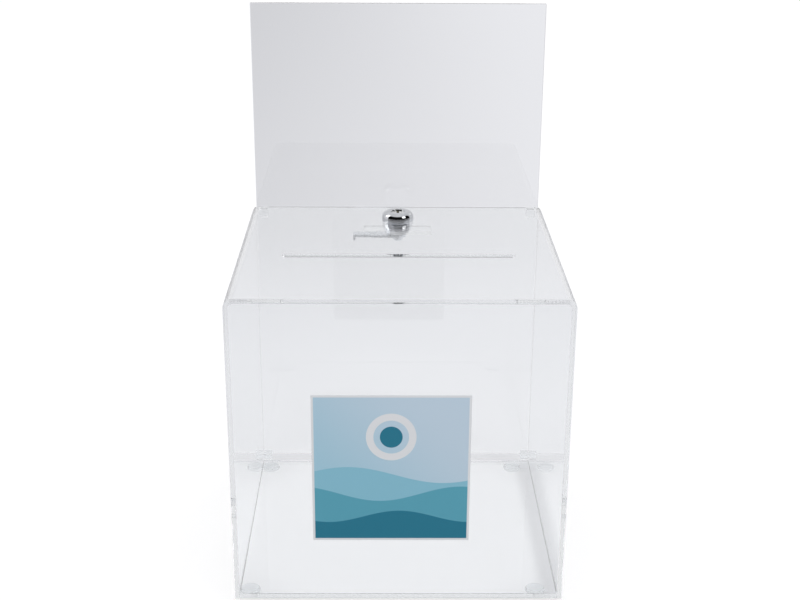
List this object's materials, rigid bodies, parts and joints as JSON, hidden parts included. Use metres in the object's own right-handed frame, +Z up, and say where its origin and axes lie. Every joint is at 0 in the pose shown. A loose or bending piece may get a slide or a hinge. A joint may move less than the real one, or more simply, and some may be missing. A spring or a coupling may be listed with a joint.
{
  "type": "ballot box",
  "caption": "Clear acrylic ballot box with a slot in its lid, a tall rear door that carries a notice header, and a chrome cam lock.",
  "frame": {"origin": "middle of the box's footprint, on the plane the feet rest on", "axes": "+Z up, +X to the right seen from the front, front face towards -Y, door and header at +Y"},
  "size_m": [0.21, 0.2101, 0.349],
  "materials": {
    "clear_acrylic": "clear cast acrylic, polished edges",
    "chrome_plate": "bright chrome plate",
    "nickel_plug": "nickel plate, satin",
    "zinc_steel": "bright zinc plate",
    "wafer_brass": "stamped brass",
    "clear_foot": "clear soft polyurethane, glossy",
    "label_film": "printed film, satin"
  },
  "bodies": {
    "box": {"cover": "clear_acrylic", "front_panel": "clear_acrylic", "base_plate": "clear_acrylic", "hinge_pin_left": "clear_acrylic", "hinge_pin_right": "clear_acrylic", "stop_block_left": "clear_acrylic", "stop_block_right": "clear_acrylic", "lock_housing": "chrome_plate", "lock_washer": "zinc_steel", "lock_nut": "chrome_plate", "foot_front_left": "clear_foot", "foot_front_right": "clear_foot", "foot_rear_left": "clear_foot", "foot_rear_right": "clear_foot", "label_sheet": "label_film"},
    "door": {"rear_door": "clear_acrylic", "hinge_block_left": "clear_acrylic", "hinge_block_right": "clear_acrylic", "cam_keeper": "clear_acrylic", "keeper_lip": "clear_acrylic"},
    "cam": {"lock_plug": "nickel_plug", "wafer_tumblers": "wafer_brass", "lock_cam": "zinc_steel", "cam_washer": "zinc_steel", "cam_screw": "zinc_steel"}
  },
  "joints": [
    {"name": "door_hinge", "type": "hinge", "parent": "box", "child": "door", "pos_m": [0, 0.099, 0.0094], "axis": [-1, 0, 0], "range_deg": [0, 90]},
    {"name": "lock_turn", "type": "hinge", "parent": "box", "child": "cam", "pos_m": [0, 0.067, 0.2], "axis": [0, 0, -1], "range_deg": [0, 90]}
  ]
}
